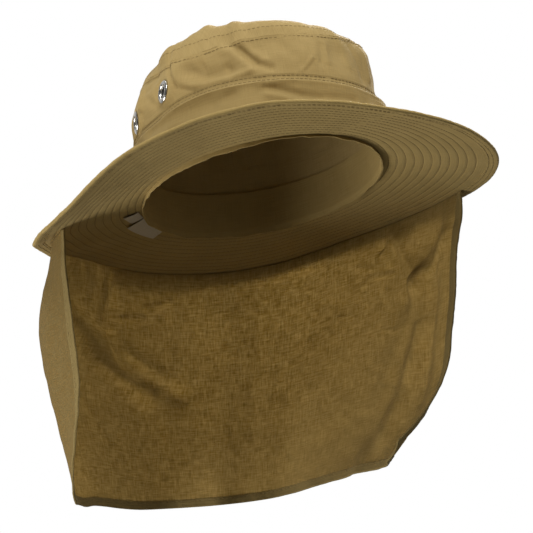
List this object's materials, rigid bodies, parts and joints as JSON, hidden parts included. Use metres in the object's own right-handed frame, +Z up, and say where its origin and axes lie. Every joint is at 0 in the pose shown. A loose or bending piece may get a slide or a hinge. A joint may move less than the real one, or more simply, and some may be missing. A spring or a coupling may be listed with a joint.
{
  "type": "ranger hat with neck flap",
  "caption": "Wide-brimmed soft cloth ranger hat in its worn form, with screened vent eyelets, a stitched band and a thin neck flap hanging from under the brim.",
  "frame": {"origin": "centre of the head opening, level with the seam between crown and brim", "axes": "+Z up, out of the head it is worn on; -Y the wearer's front, +X the wearer's left"},
  "size_m": [0.3379, 0.3596, 0.3548],
  "materials": {
    "crown_cloth": "matte khaki cotton, plain weave",
    "brim_cloth": "matte khaki cotton, quilted in rows",
    "flap_cloth": "thin matte khaki cotton that lets light through",
    "tag_cloth": "smooth off-white ribbon, unprinted",
    "nickel": "polished nickel plate"
  },
  "bodies": {
    "root": {"crown_top": "crown_cloth", "crown_wall": "crown_cloth", "hat_band": "crown_cloth", "brim": "brim_cloth", "brim_binding": "brim_cloth", "sweatband": "brim_cloth", "neck_flap": "flap_cloth", "flap_binding": "flap_cloth", "care_tag_small": "tag_cloth", "care_tag_large": "tag_cloth", "eyelet_right_front": "nickel", "eyelet_right_rear": "nickel", "eyelet_left_rear": "nickel", "eyelet_left_front": "nickel"}
  },
  "joints": []
}
